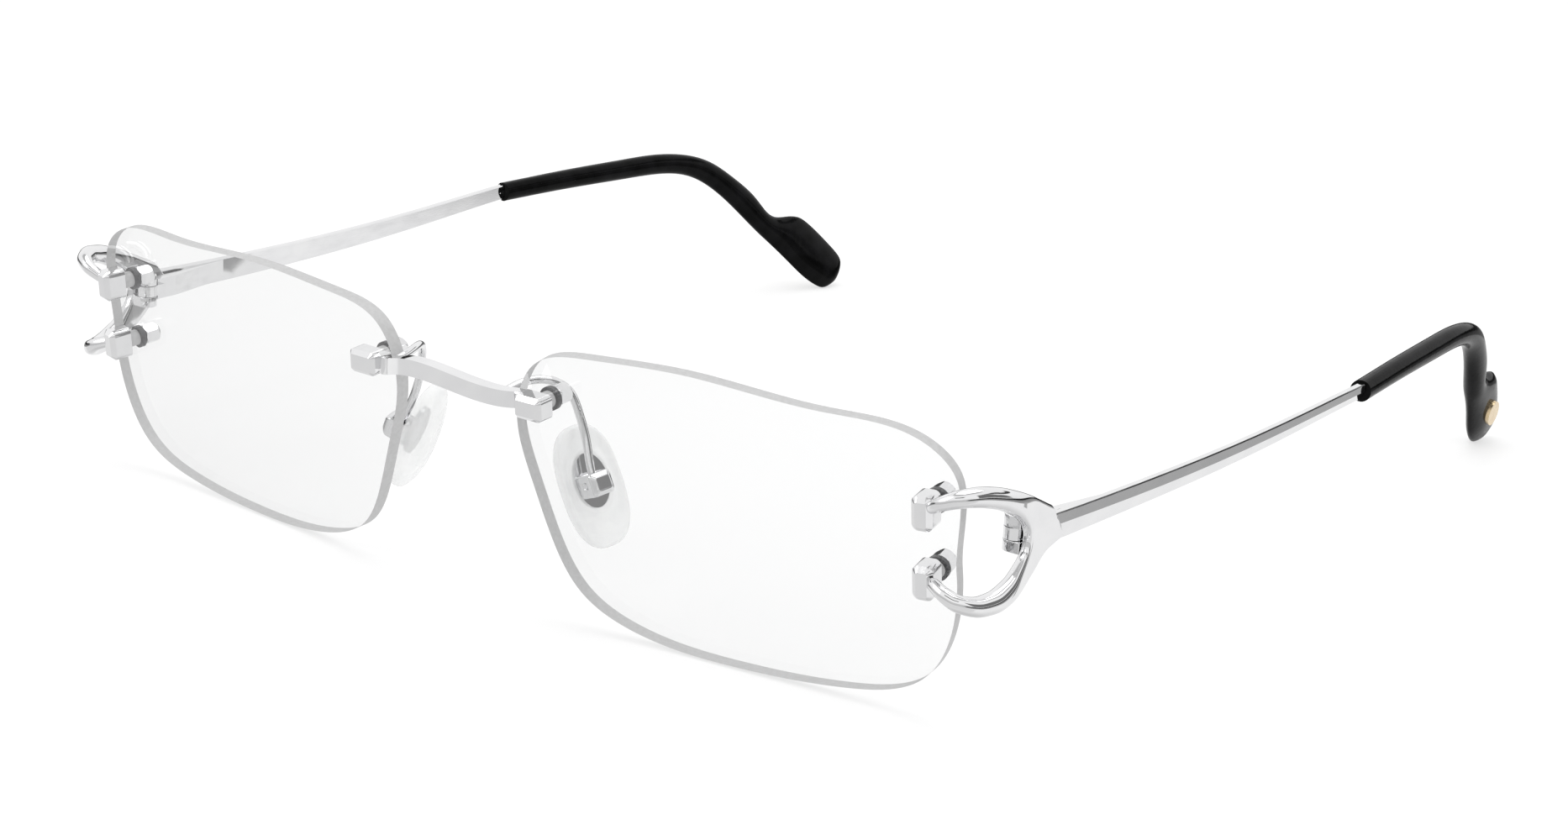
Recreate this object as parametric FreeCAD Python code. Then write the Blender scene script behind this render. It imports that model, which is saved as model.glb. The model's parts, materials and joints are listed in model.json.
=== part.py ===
import FreeCAD, Part
import math
import os

# Rimless eyeglasses standing open on a flat surface: lens bottoms and ear-tip ends touch it.
# Millimetres. +X is the wearer's left, +Y runs back along the temples, +Z is up.
# Everything is first drawn around the bridge, then moved so that the origin is the middle of
# the footprint on the surface the glasses rest on.

V = FreeCAD.Vector
AXIS_X = V(1, 0, 0)
AXIS_Z = V(0, 0, 1)

# ---- driving dimensions -------------------------------------------------------------
LENS_WIDTH = 56.0          # boxed lens width, the 56 of a 56-18 frame
BRIDGE_GAP = 18.54         # boxed distance between the lenses
LENS_THICKNESS = 1.55      # at the middle; the lens is thicker at the nose than at the temple
BACK_SHIFT = 1.6           # sideways shift of the back curve that gives that taper
FRONT_RADIUS = 255.0       # flat demo lens curve, about base 2
FACE_FORM = 6.3            # wrap of each lens, degrees
REST_SLOPE = 8.06          # tilt of the front when the glasses stand on a table, degrees

POST_R = 0.55              # threaded post through the lens
HOLE_R = 1.0               # drilled hole in the lens
FIT = 0.02                 # clearance between pieces that are clamped together
WASHER_R = 1.4
WASHER_T = 0.6
NUT_FLATS = 2.3            # across flats
NUT_LENGTH = 2.4
NUT_BORE_DEPTH = 1.7
NUT_LEAD = 1.0             # height of the cone at the seat of the nut

SIDE_BLOCK = (2.4, 3.9, 2.8)      # width, height, depth of the blocks in front of the lens
BRIDGE_BLOCK = (3.9, 2.8, 2.4)
SIDE_HOLES = ((24.6, 7.5), (24.6, -0.35))   # drilled hole positions on the lens, u and v
BRIDGE_HOLE = (-24.7, 9.75)

BAR_HEIGHT = 1.92          # bridge bar section
BAR_DEPTH = 1.9
BAR_REACH = 11.4           # half length of the bar, into the mount blocks

HINGE = (66.45, 11.8)      # hinge axis, x and y
KNUCKLE_R = 1.2
KNUCKLE_Z = (2.3, 3.6, 3.65, 5.0, 5.05, 6.4)
HINGE_SCREW_R = 0.45
HINGE_HEAD_R = 0.75
HINGE_HEAD_T = 0.4
RUNNING = 0.05             # clearance of turning fits
YOKE_INNER = 67.9          # inner and outer face of the yoke's side plate
YOKE_OUTER = 69.05

TEMPLE_END = V(69.2, 83.3, 5.95)   # where the metal bar enters the ear tip
TIP_THICKNESS = 2.7
CORE_R = 0.42
CORE_LENGTH = 22.0
TIP_SECTIONS = 36

PIVOT = V(15.0, 4.7, -0.9)         # nose pad pivot
PAD_DOWN = V(0.40, 0.06, -0.915)   # long direction of the pad
PAD_OUT = V(0.886, -0.28, 0.369)   # from the nose towards the lens
PAD_HALF = (3.6, 6.9)
PAD_NOSE_BULGE = 2.2
PAD_BACK_BULGE = 0.6
PAD_CENTRE = (0.7, -0.35, -1.9)
PLATE_HALF = (2.2, 3.2)
PLATE_T = 0.5
PIN_R = 0.35


# ---- small helpers ------------------------------------------------------------------
def box(x0, x1, y0, y1, z0, z1):
    return Part.makeBox(x1 - x0, y1 - y0, z1 - z0, V(x0, y0, z0))


def spline(points, closed=False):
    curve = Part.BSplineCurve()
    if closed:
        curve.interpolate(points, PeriodicFlag=True)
    else:
        curve.interpolate(points)
    return curve.toShape()


def prism(edges, direction):
    return Part.Face(Part.Wire(edges)).extrude(direction)


def line(a, b):
    return Part.makeLine(a, b)


def ring(outer, inner, z0, z1):
    body = Part.makeCylinder(outer, z1 - z0, V(0, 0, z0))
    return body.cut(Part.makeCylinder(inner, z1 - z0 + 1, V(0, 0, z0 - 0.5)))


def tube(stations):
    """Round rod through a list of (centre, radius)."""
    path = Part.BSplineCurve()
    path.interpolate([centre for centre, radius in stations])
    wires = []
    for centre, radius in stations:
        heading = path.tangent(path.parameter(centre))[0]
        wires.append(Part.Wire(Part.makeCircle(radius, centre, heading)))
    return Part.makeLoft(wires, True, False)


def ellipsoid(half, centre):
    ball = Part.makeSphere(1.0)
    scale = FreeCAD.Matrix()
    scale.scale(*half)
    return ball.transformGeometry(scale).translated(centre)


def placed(shape, placement):
    copy = shape.copy()
    copy.Placement = placement.multiply(copy.Placement)
    return copy


# ---- frames -------------------------------------------------------------------------
TILT = FreeCAD.Placement(V(0, 0, 0), FreeCAD.Rotation(AXIS_X, REST_SLOPE))
LENS_FRAME = TILT.multiply(
    FreeCAD.Placement(V(BRIDGE_GAP / 2 + LENS_WIDTH / 2, 0, 0), FreeCAD.Rotation(AXIS_Z, FACE_FORM))
)


def hole_frame(hole):
    """Placement on the front of the lens: x along the lens, y up, z out of the lens."""
    u, v = hole
    drop = FRONT_RADIUS - math.sqrt(FRONT_RADIUS ** 2 - u * u - v * v)
    spot = V(u, drop, v)
    outward = (spot - V(0, FRONT_RADIUS, 0)).normalize()
    turn = FreeCAD.Rotation(V(1, 0, 0), V(0, 0, 1), outward, "ZYX")
    return LENS_FRAME.multiply(FreeCAD.Placement(spot, turn))


def seat_frame(hole):
    """The same for what sits behind the lens, moved to where the tapering lens ends."""
    return hole_frame(hole).multiply(FreeCAD.Placement(V(0, 0, BACK_SHIFT * hole[0] / FRONT_RADIUS),
                                                       FreeCAD.Rotation()))


ALL_HOLES = [hole_frame(h) for h in SIDE_HOLES] + [hole_frame(BRIDGE_HOLE)]
ALL_SEATS = [seat_frame(h) for h in SIDE_HOLES] + [seat_frame(BRIDGE_HOLE)]


def at_holes(shape, frames=ALL_HOLES):
    return [placed(shape, frame) for frame in frames]


# ---- lens ---------------------------------------------------------------------------
OUTLINE = [
    (27.45, 0.3), (27.88, 6.4), (27.3, 11.3), (24.6, 14.0), (12.3, 15.95), (-4.2, 17.0),
    (-17.5, 16.35), (-25.3, 14.2), (-28.05, 7.8), (-26.3, 0.0), (-24.0, -6.5), (-20.5, -12.3),
    (-13.5, -15.6), (0.0, -16.75), (14.0, -16.1), (23.1, -13.2), (26.6, -7.4),
]


def make_lens():
    blank = prism([spline([V(u, -2, v) for u, v in OUTLINE], True)], V(0, 10, 0))
    centre = V(0, FRONT_RADIUS, 0)
    lens = blank.common(Part.makeSphere(FRONT_RADIUS, centre))
    lens = lens.cut(Part.makeSphere(FRONT_RADIUS - LENS_THICKNESS, centre + V(BACK_SHIFT, 0, 0)))
    lens = placed(lens, LENS_FRAME)
    drill = Part.makeCylinder(HOLE_R, 8, V(0, 0, -5))
    for hole in at_holes(drill):
        lens = lens.cut(hole)
    return lens


# ---- pieces clamped at each hole ----------------------------------------------------
LENS_BACK = -LENS_THICKNESS
SEAT_GAP = 0.04            # the curve of the lens stays inside this gap
WASHER_TOP = LENS_BACK - SEAT_GAP
NUT_TOP = WASHER_TOP - WASHER_T - FIT
POST_TOP = 1.2


def make_posts():
    post = Part.makeCylinder(POST_R, POST_TOP - NUT_TOP + NUT_BORE_DEPTH - 0.2,
                             V(0, 0, NUT_TOP - NUT_BORE_DEPTH + 0.2))
    return Part.makeCompound(at_holes(post))


def make_bushings():
    sleeve = ring(HOLE_R - FIT, POST_R + FIT, LENS_BACK + 0.2, -FIT)
    return Part.makeCompound(at_holes(sleeve))


def make_washers():
    washer = ring(WASHER_R, POST_R + FIT, WASHER_TOP - WASHER_T, WASHER_TOP)
    return Part.makeCompound(at_holes(washer, ALL_SEATS))


def make_nuts():
    corner = NUT_FLATS / math.sqrt(3)
    points = []
    for k in range(7):
        angle = math.radians(60 * k + 30)
        points.append(V(corner * math.cos(angle), corner * math.sin(angle), NUT_TOP - NUT_LENGTH))
    hexagon = Part.Face(Part.makePolygon(points)).extrude(V(0, 0, NUT_LENGTH))
    dome = Part.makeCylinder(corner, NUT_LENGTH, V(0, 0, NUT_TOP - NUT_LENGTH))
    dome = dome.makeFillet(0.8, [dome.Edges[2]])
    lead = Part.makeCone(NUT_FLATS / 2 - 0.2, corner + 0.6, NUT_LEAD, V(0, 0, NUT_TOP), V(0, 0, -1))
    skirt = Part.makeCylinder(corner + 1, NUT_LENGTH, V(0, 0, NUT_TOP - NUT_LEAD - NUT_LENGTH))
    nut = hexagon.common(dome).common(lead.fuse(skirt))
    nut = nut.cut(Part.makeCylinder(POST_R + FIT, NUT_BORE_DEPTH, V(0, 0, NUT_TOP - NUT_BORE_DEPTH)))
    return Part.makeCompound(at_holes(nut, ALL_SEATS))


def mount_block(size, corner, bevel):
    """Upright block lying on the front of the lens, bored for its post."""
    wide, tall, deep = size
    block = box(-wide / 2, wide / 2, -tall / 2, tall / 2, FIT, deep)
    upright = [e for e in block.Edges if abs(e.tangentAt(e.FirstParameter).z) > 0.9]
    block = block.makeFillet(corner, upright)
    rim = [e for e in block.Edges if e.BoundBox.ZMin > deep - 0.01]
    block = block.makeChamfer(bevel, rim)
    return block.cut(Part.makeCylinder(POST_R + FIT, POST_TOP + 1, V(0, 0, -1 + FIT)))


# ---- bridge -------------------------------------------------------------------------
def bar_point(x):
    t = x / 10.0
    front = -9.33 + 5.07 * t ** 2 - 0.28 * t ** 4
    top = 12.96 - 4.25 * t ** 2 + 1.98 * t ** 4
    return front, top


def make_bridge():
    xs = [BAR_REACH * k / 6.0 for k in range(-6, 7)]
    front = [V(x, bar_point(x)[0], 0) for x in xs]
    back = [V(x, bar_point(x)[0] + BAR_DEPTH, 0) for x in xs]
    plan = prism([spline(front), line(front[-1], back[-1]), spline(back[::-1]),
                  line(back[0], front[0])], V(0, 0, 30))
    top = [V(x, -20, bar_point(x)[1]) for x in xs]
    low = [V(x, -20, bar_point(x)[1] - BAR_HEIGHT) for x in xs]
    face = prism([spline(top), line(top[-1], low[-1]), spline(low[::-1]), line(low[0], top[0])],
                 V(0, 40, 0))
    bar = plan.common(face)
    behind = Part.makeSphere(FRONT_RADIUS + FIT, V(0, FRONT_RADIUS, 0)).common(
        box(-LENS_WIDTH / 2, 0, -5, 20, -20, 20))
    behind = placed(behind, LENS_FRAME)
    bar = bar.cut([behind, behind.mirror(V(0, 0, 0), AXIS_X)])
    block = mount_block(BRIDGE_BLOCK, 0.6, 0.5)
    left = placed(block, hole_frame(BRIDGE_HOLE))
    right = left.mirror(V(0, 0, 0), AXIS_X)
    posts = placed(Part.makeCylinder(POST_R + FIT, POST_TOP + 1, V(0, 0, -1 + FIT)),
                   hole_frame(BRIDGE_HOLE))
    bridge = bar.fuse([left, right]).removeSplitter()
    return bridge.cut(posts).cut(posts.mirror(V(0, 0, 0), AXIS_X))


# ---- nose pads ----------------------------------------------------------------------
PAD_BACKWARD = PAD_OUT.cross(PAD_DOWN).normalize()
PAD_FRAME = FreeCAD.Placement(PIVOT, FreeCAD.Rotation(PAD_BACKWARD, PAD_DOWN * -1, PAD_OUT, "ZYX"))
ARM_PATH = [
    V(8.5, -4.4, 10.1), V(8.45, -2.6, 10.4), V(8.7, -0.6, 10.75), V(9.8, 1.9, 10.7),
    V(11.2, 3.9, 9.4), V(12.1, 4.7, 7.0), V(13.2, 5.0, 3.6),
]
ARM_R = 0.5
EYE_R = 0.85
EYE_HALF = 0.6


def make_pad_arm(bridge):
    stations = [(p, ARM_R) for p in ARM_PATH]
    stations.append((PAD_FRAME.multVec(V(0, 1.2, 0)), ARM_R))
    stations.append((PAD_FRAME.multVec(V(0, 0.5, 0)), ARM_R))
    path = Part.BSplineCurve()
    path.interpolate([centre for centre, radius in stations])
    start = path.tangent(path.FirstParameter)[0]
    circle = Part.Wire(Part.makeCircle(ARM_R, stations[0][0], start))
    rod = Part.Wire(path.toShape()).makePipeShell([circle], True, True)
    eye = Part.makeCylinder(EYE_R, 2 * EYE_HALF, V(-EYE_HALF, 0, 0), AXIS_X)
    arm = rod.fuse(placed(eye, PAD_FRAME))
    bore = Part.makeCylinder(PIN_R + RUNNING, 4, V(-2, 0, 0), AXIS_X)
    return arm.cut(placed(bore, PAD_FRAME)).cut(bridge)


PAD_BOX_SIDE = 1.45                  # half width, and depth below the pin
PAD_BOX_TOP = 1.25
PAD_BOX_Z = (-1.48, 1.9)
PAD_BOX_BEVEL = 0.5
PAD_POCKET = (0.8, 1.1)              # half width of the slot for the arm, half height of the slot
PIN_HALF = 1.4


def make_pad_box():
    body = box(-PAD_BOX_SIDE, PAD_BOX_SIDE, -PAD_BOX_SIDE, PAD_BOX_TOP, *PAD_BOX_Z)
    outer = [e for e in body.Edges if e.BoundBox.ZMin > PAD_BOX_Z[1] - 0.1]
    body = body.makeChamfer(PAD_BOX_BEVEL, outer)
    wide, tall = PAD_POCKET
    body = body.cut(box(-wide, wide, -tall, PAD_BOX_TOP + 0.15, -tall, tall))
    body = body.cut(Part.makeCylinder(PIN_R + 0.01, 4, V(-2, 0, 0), AXIS_X))
    return placed(body, PAD_FRAME)


def make_pad_pin():
    return placed(Part.makeCylinder(PIN_R, 2 * PIN_HALF, V(-PIN_HALF, 0, 0), AXIS_X), PAD_FRAME)


def oval(half, z0, z1, centre):
    circle = Part.makeCylinder(1.0, z1 - z0)
    scale = FreeCAD.Matrix()
    scale.scale(half[0], half[1], 1)
    return circle.transformGeometry(scale).translated(V(centre[0], centre[1], z0))


def make_pad_plate():
    return placed(oval(PLATE_HALF, -2.0, -2.0 + PLATE_T, (0.6, 0.3)), PAD_FRAME)


def make_nose_pad():
    wide, tall = PAD_HALF
    centre = V(*PAD_CENTRE)
    level = PAD_CENTRE[2]
    nose = ellipsoid((wide, tall, PAD_NOSE_BULGE), centre).common(box(-9, 9, -9, 9, -9, level))
    back = ellipsoid((wide, tall, PAD_BACK_BULGE), centre).common(box(-9, 9, -9, 9, level, 9))
    pad = nose.fuse(back)
    seat = oval((PLATE_HALF[0] + 0.03, PLATE_HALF[1] + 0.03), -2.03, 0.0, (0.6, 0.3))
    return placed(pad.cut(seat), PAD_FRAME)


# ---- side blocks, the yoke with its forked arms and side plate, and the hinge ---------------
def side_blocks():
    """Two clamp blocks with rounded shoulders, side by side on the front of the lens."""
    return at_holes(mount_block(SIDE_BLOCK, 0.75, 0.55), ALL_HOLES[:2])


def make_side_blocks():
    return Part.makeCompound(side_blocks())


UPPER_ARM = [
    (V(62.6, 1.15, 8.35), 0.65), (V(64.5, 0.35, 9.5), 0.75), (V(66.2, 0.95, 10.25), 0.9),
    (V(67.5, 2.8, 10.4), 1.0), (V(68.25, 5.6, 9.8), 1.0), (V(68.45, 8.6, 8.6), 0.8),
    (V(68.47, 11.6, 6.9), 0.5),
]
LOWER_ARM = [
    (V(62.6, 2.25, 0.2), 0.65), (V(64.6, 1.5, -0.5), 0.75), (V(66.3, 1.95, -1.4), 0.9),
    (V(67.5, 3.7, -2.0), 1.0), (V(68.25, 6.2, -1.85), 1.0), (V(68.45, 9.2, -0.9), 0.8),
    (V(68.47, 12.0, 1.3), 0.5),
]
PLATE_TOP = [(5.0, 11.0), (7.4, 10.4), (11.0, 9.0), (14.0, 7.3), (15.6, 6.0)]
PLATE_LOW = [(18.0, 2.9), (16.2, 1.6), (14.1, 0.2), (12.0, -1.1), (8.8, -2.6), (5.0, -3.0)]
OPEN_EDGE = [(5.0, -0.85), (8.2, -0.1), (10.3, 1.6), (11.3, 3.9), (10.7, 5.4), (8.8, 7.2), (5.0, 9.0)]


def yoke_points(points):
    return [V(YOKE_INNER, y, z) for y, z in points]


def make_yoke():
    top = yoke_points(PLATE_TOP)
    low = yoke_points(PLATE_LOW)
    opening = yoke_points(OPEN_EDGE)
    plate = prism([spline(top), line(top[-1], low[0]), spline(low), line(low[-1], opening[0]),
                   spline(opening), line(opening[-1], top[0])], V(YOKE_OUTER - YOKE_INNER, 0, 0))
    return plate.fuse([tube(UPPER_ARM), tube(LOWER_ARM)]).removeSplitter().cut(side_blocks())


def make_hinge_knuckles():
    """Two bored knuckles, each with a foot on the inner face of the side plate."""
    x, y = HINGE
    screw = Part.makeCylinder(HINGE_SCREW_R + 0.01, 8, V(x, y, 0))
    head = Part.makeCylinder(HINGE_HEAD_R + FIT, 2, V(x, y, KNUCKLE_Z[5] - HINGE_HEAD_T))
    knuckles = []
    for z0, z1 in (KNUCKLE_Z[:2], KNUCKLE_Z[4:]):
        barrel = Part.makeCylinder(KNUCKLE_R, z1 - z0, V(x, y, z0))
        foot = box(x, YOKE_INNER, y - KNUCKLE_R, y + 0.8, z0, z1)
        knuckles.append(barrel.fuse(foot).removeSplitter().cut(screw).cut(head))
    return Part.makeCompound(knuckles)


def make_hinge_screw():
    x, y = HINGE
    low, high = KNUCKLE_Z[0], KNUCKLE_Z[5]
    shank = Part.makeCylinder(HINGE_SCREW_R, high - low - 0.1, V(x, y, low + 0.05))
    head = Part.makeCylinder(HINGE_HEAD_R, HINGE_HEAD_T - 0.07, V(x, y, high - HINGE_HEAD_T + 0.02))
    slot = box(x - 1, x + 1, y - 0.1, y + 0.1, high - 0.2, high + 1)
    return shank.fuse(head).cut(slot)


# ---- temple -------------------------------------------------------------------------
# y of the section, lower edge, foot and head of the flat outer face, outer face x
BAR_STATIONS = [
    (13.4, 2.6, 4.75, 5.95, 69.05), (20.0, 2.62, 4.57, 5.71, 69.07), (40.0, 2.8, 4.32, 5.45, 69.25),
    (60.0, 3.48, 4.82, 5.77, 69.55), (75.0, 4.44, 5.6, 6.46, 69.75), (83.2, 4.95, 6.05, 6.85, 69.85),
]
BAR_THICKNESS = 0.95
TONGUE_Z = (2.95, 5.55)    # height of the tongue that joins the knuckle to the bar
BAR_UNDERCUT = 0.6         # how far the lower bevel runs inwards
BAR_EDGE = 0.13            # small bevels along the top and the inner side


def bar_section(station):
    y, low, foot, head, outer = station
    inner = outer - BAR_THICKNESS
    corners = [
        (inner, low + BAR_EDGE), (inner + BAR_EDGE, low), (outer - BAR_UNDERCUT, low), (outer, foot),
        (outer, head), (outer - BAR_EDGE, head + BAR_EDGE), (inner + BAR_EDGE, head + BAR_EDGE),
        (inner, head),
    ]
    points = [V(x, y, z) for x, z in corners]
    return Part.makePolygon(points + points[:1])


SEAM_TOP = V(0, 15.6, 6.0)           # slanting seam between yoke and temple
SEAM_LOW = V(0, 18.0, 2.9)
SEAM_GAP = 0.08
TONGUE_OUTER = YOKE_INNER - 0.3      # the tongue passes inside the side plate


def make_temple():
    """Bar behind the slanting seam, tongue to the hinge, middle knuckle and core for the tip."""
    bar = Part.makeLoft([bar_section(s) for s in BAR_STATIONS], True, False)
    along = (SEAM_LOW - SEAM_TOP).normalize()
    a = SEAM_TOP - along * 9 + V(TONGUE_OUTER, SEAM_GAP, 0)
    b = SEAM_LOW + along * 9 + V(TONGUE_OUTER, SEAM_GAP, 0)
    forward = V(0, -40, 0)
    notch = prism([line(a, b), line(b, b + forward), line(b + forward, a + forward),
                   line(a + forward, a)], V(6, 0, 0))
    bar = bar.cut(notch)
    x, y = HINGE
    plan = [(x - 0.25, y + 1.55), (TONGUE_OUTER, y + 1.55), (TONGUE_OUTER, 18.6), (68.5, 20.5),
            (68.5, 27.0), (68.2, 27.0), (x - 0.25, 16.5)]
    step = [V(a, b, TONGUE_Z[0]) for a, b in plan]
    tongue = Part.Face(Part.makePolygon(step + step[:1])).extrude(V(0, 0, TONGUE_Z[1] - TONGUE_Z[0]))
    z0, z1 = KNUCKLE_Z[2], KNUCKLE_Z[3]
    knuckle = Part.makeCylinder(KNUCKLE_R, z1 - z0, V(x, y, z0))
    link = box(x - 0.9, TONGUE_OUTER, y, y + 2.2, z0, z1)
    core = Part.makeCylinder(CORE_R, CORE_LENGTH, TEMPLE_END - TIP_ALONG * 1.0, TIP_ALONG)
    temple = bar.fuse([tongue, knuckle, link, core]).removeSplitter()
    return temple.cut(Part.makeCylinder(HINGE_SCREW_R + RUNNING, 10, V(x, y, 0)))


# ---- ear tip ------------------------------------------------------------------------
TIP_ALONG = V(-0.11, 0.994, 0).normalize()
TIP_SIDE = V(0.961, 0.103, -0.258).normalize()
TIP_UP = TIP_SIDE.cross(TIP_ALONG).normalize()
# lower edge s, h and upper edge s, h of the tip in its own plane, then its thickness
TIP_STATIONS = [
    ((0.0, -1.35), (0.0, 1.35), 2.7), ((12.0, -1.15), (12.0, 1.65), 2.75),
    ((24.5, -1.2), (24.7, 1.75), 2.8), ((33.2, -1.5), (34.2, 1.4), 2.8),
    ((39.3, -3.1), (41.6, -0.5), 2.8), ((44.2, -6.4), (46.7, -3.75), 2.8),
    ((48.5, -10.5), (51.2, -7.8), 2.8), ((51.9, -13.8), (54.7, -11.0), 2.8),
    ((54.0, -15.8), (58.9, -11.5), 2.8), ((56.6, -18.3), (61.9, -13.1), 2.75),
    ((60.3, -21.7), (65.4, -16.4), 2.7), ((62.3, -23.0), (67.3, -18.4), 2.4),
    ((64.0, -23.4), (67.9, -20.2), 1.9), ((65.6, -23.1), (67.2, -21.8), 1.0),
]


def tip_point(s, h):
    return TEMPLE_END + TIP_ALONG * s + TIP_UP * h


def tip_edges():
    """Lower and upper outline of the tip and its thickness as smooth curves of one parameter."""
    marks = [0.0]
    for (low0, high0, t0), (low1, high1, t1) in zip(TIP_STATIONS, TIP_STATIONS[1:]):
        step = V(low1[0] + high1[0] - low0[0] - high0[0], low1[1] + high1[1] - low0[1] - high0[1], 0)
        marks.append(marks[-1] + step.Length / 2)
    lows = [V(low[0], low[1], 0) for low, high, thick in TIP_STATIONS]
    highs = [V(high[0], high[1], 0) for low, high, thick in TIP_STATIONS]
    thicks = [V(mark, station[2], 0) for mark, station in zip(marks, TIP_STATIONS)]
    curves = []
    for points in (lows, highs, thicks):
        curve = Part.BSplineCurve()
        curve.interpolate(Points=points, Parameters=marks)
        curves.append(curve)
    return marks[-1], curves


def make_tip():
    length, (low, high, thick) = tip_edges()
    wires = []
    for k in range(TIP_SECTIONS + 1):
        t = length * k / TIP_SECTIONS
        a = tip_point(*low.value(t)[:2])
        b = tip_point(*high.value(t)[:2])
        centre = (a + b) * 0.5
        across = (b - a) * 0.5
        side = TIP_SIDE * (thick.value(t).y / 2)
        rim = []
        for j in range(8):
            angle = math.radians(45 * j)
            rim.append(centre + across * math.cos(angle) + side * math.sin(angle))
        wires.append(Part.Wire(spline(rim, True)))
    tip = Part.makeLoft(wires, True, False)
    bore = Part.makeCylinder(CORE_R + FIT, CORE_LENGTH, TEMPLE_END - TIP_ALONG * 0.9, TIP_ALONG)
    return tip.cut(bore).cut(inlay_blank(0.02))


INLAY_SPOT = (61.2, -17.6)           # along and up in the plane of the tip
INLAY_SEAT = 1.05                    # distance of its floor from the middle plane
INLAY_HALF = (2.6, 1.5)
INLAY_DEPTH = 0.8


def inlay_blank(grow):
    centre = tip_point(*INLAY_SPOT) + TIP_SIDE * INLAY_SEAT
    frame = FreeCAD.Placement(centre, FreeCAD.Rotation(TIP_ALONG * 0.74 - TIP_UP * 0.67, TIP_UP, TIP_SIDE, "ZXY"))
    half = (INLAY_HALF[0] + grow, INLAY_HALF[1] + grow)
    return placed(oval(half, -grow, INLAY_DEPTH, (0, 0)), frame)


def make_inlay():
    return inlay_blank(0.0)


# ---- build, move to the resting frame and write --------------------------------------
SIDED = {
    "lens": make_lens,
    "lens_posts": make_posts,
    "lens_bushings": make_bushings,
    "lens_washers": make_washers,
    "cap_nuts": make_nuts,
    "pad_arm": make_pad_arm,
    "pad_box": make_pad_box,
    "pad_pin": make_pad_pin,
    "pad_plate": make_pad_plate,
    "nose_pad": make_nose_pad,
    "side_blocks": make_side_blocks,
    "yoke": make_yoke,
    "hinge_knuckles": make_hinge_knuckles,
    "hinge_screw": make_hinge_screw,
    "temple": make_temple,
    "ear_tip": make_tip,
    "tip_inlay": make_inlay,
}


def build_all():
    bridge = make_bridge()
    nodes = {"bridge": bridge}
    for name, maker in SIDED.items():
        left = maker(bridge) if maker is make_pad_arm else maker()
        nodes[name + "_left"] = left
        nodes[name + "_right"] = left.mirror(V(0, 0, 0), AXIS_X)
    return nodes


def main():
    os.makedirs("parts", exist_ok=True)
    nodes = build_all()
    whole = Part.makeCompound(list(nodes.values())).optimalBoundingBox(False)
    shift = V(0, -(whole.YMin + whole.YMax) / 2, -whole.ZMin)
    print("shift", shift, "size", whole.XLength, whole.YLength, whole.ZLength)
    for name, shape in nodes.items():
        shape.translate(shift)
        shape.exportStep("parts/%s.step" % name)
        print(name, "solids", len(shape.Solids), "valid", shape.isValid(), round(shape.Volume, 2))


main()
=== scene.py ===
# %% [markdown]
# Rimless eyeglasses in Blender.
# The CAD parts arrive as a fixed frame: every lens, screw and hinge is already in its real place, in metres.
# This lesson gives those parts their finishes, rebuilds the soft and rounded pieces with finer surfaces,
# and sets up a small studio around them. The first cell loads the frame and keeps its box, because the
# finished picture must not grow out of the real size.

# %% Load the frame
import json
import math

import bmesh
import bpy
from mathutils import Matrix, Vector


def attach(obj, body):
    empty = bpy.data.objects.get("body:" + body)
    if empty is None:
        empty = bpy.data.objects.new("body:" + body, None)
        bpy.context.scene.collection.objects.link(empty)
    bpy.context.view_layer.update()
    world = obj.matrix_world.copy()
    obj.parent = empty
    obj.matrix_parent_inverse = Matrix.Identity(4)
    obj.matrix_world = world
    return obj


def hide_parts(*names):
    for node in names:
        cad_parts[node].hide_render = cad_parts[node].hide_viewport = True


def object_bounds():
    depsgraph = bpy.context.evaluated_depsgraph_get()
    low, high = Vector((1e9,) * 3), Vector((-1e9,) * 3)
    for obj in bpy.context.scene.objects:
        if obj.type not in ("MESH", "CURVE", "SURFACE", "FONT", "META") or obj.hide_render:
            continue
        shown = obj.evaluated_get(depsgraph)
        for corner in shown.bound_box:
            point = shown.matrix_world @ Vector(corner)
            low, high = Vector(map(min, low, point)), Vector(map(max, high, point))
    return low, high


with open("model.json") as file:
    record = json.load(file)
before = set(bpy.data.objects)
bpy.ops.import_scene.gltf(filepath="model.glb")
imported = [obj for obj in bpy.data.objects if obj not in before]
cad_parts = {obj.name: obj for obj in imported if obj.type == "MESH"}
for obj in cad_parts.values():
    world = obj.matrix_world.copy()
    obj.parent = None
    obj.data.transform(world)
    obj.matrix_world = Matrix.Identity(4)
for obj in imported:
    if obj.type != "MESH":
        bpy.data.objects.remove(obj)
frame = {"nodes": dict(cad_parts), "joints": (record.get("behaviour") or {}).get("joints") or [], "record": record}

cad_low, cad_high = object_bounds()
nodes = frame["nodes"]
MM = 0.001
SIDES = ("left", "right")
print("loaded", len(nodes), "parts, box in mm", [round(c / MM, 1) for c in cad_high - cad_low])

# %% [markdown]
# The camera looks down on the wearer's left, from a little above the lenses.
# A long lens keeps the proportions calm, as in catalogue pictures. The view is stated as a position,
# a heading and a small roll, and the matrix is built from those three directions.
# A small shift slides the picture sideways without turning the camera.

# %% Camera
IMAGE_WIDTH = 1866
EYE = Vector((244.93, -344.81, 132.74)) * MM
HEADING = math.radians(37.583)
DIP = math.radians(16.575)
ROLL = math.radians(-2.724)
FOCAL_IN_WIDTHS = 4000 / IMAGE_WIDTH


def camera_axes():
    """Right, up and backward directions of the camera."""
    forward = Vector((-math.sin(HEADING) * math.cos(DIP), math.cos(HEADING) * math.cos(DIP), -math.sin(DIP)))
    level = Vector((math.cos(HEADING), math.sin(HEADING), 0))
    down = forward.cross(level)
    right = level * math.cos(ROLL) + down * math.sin(ROLL)
    down = down * math.cos(ROLL) - level * math.sin(ROLL)
    return right, -down, -forward


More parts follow.
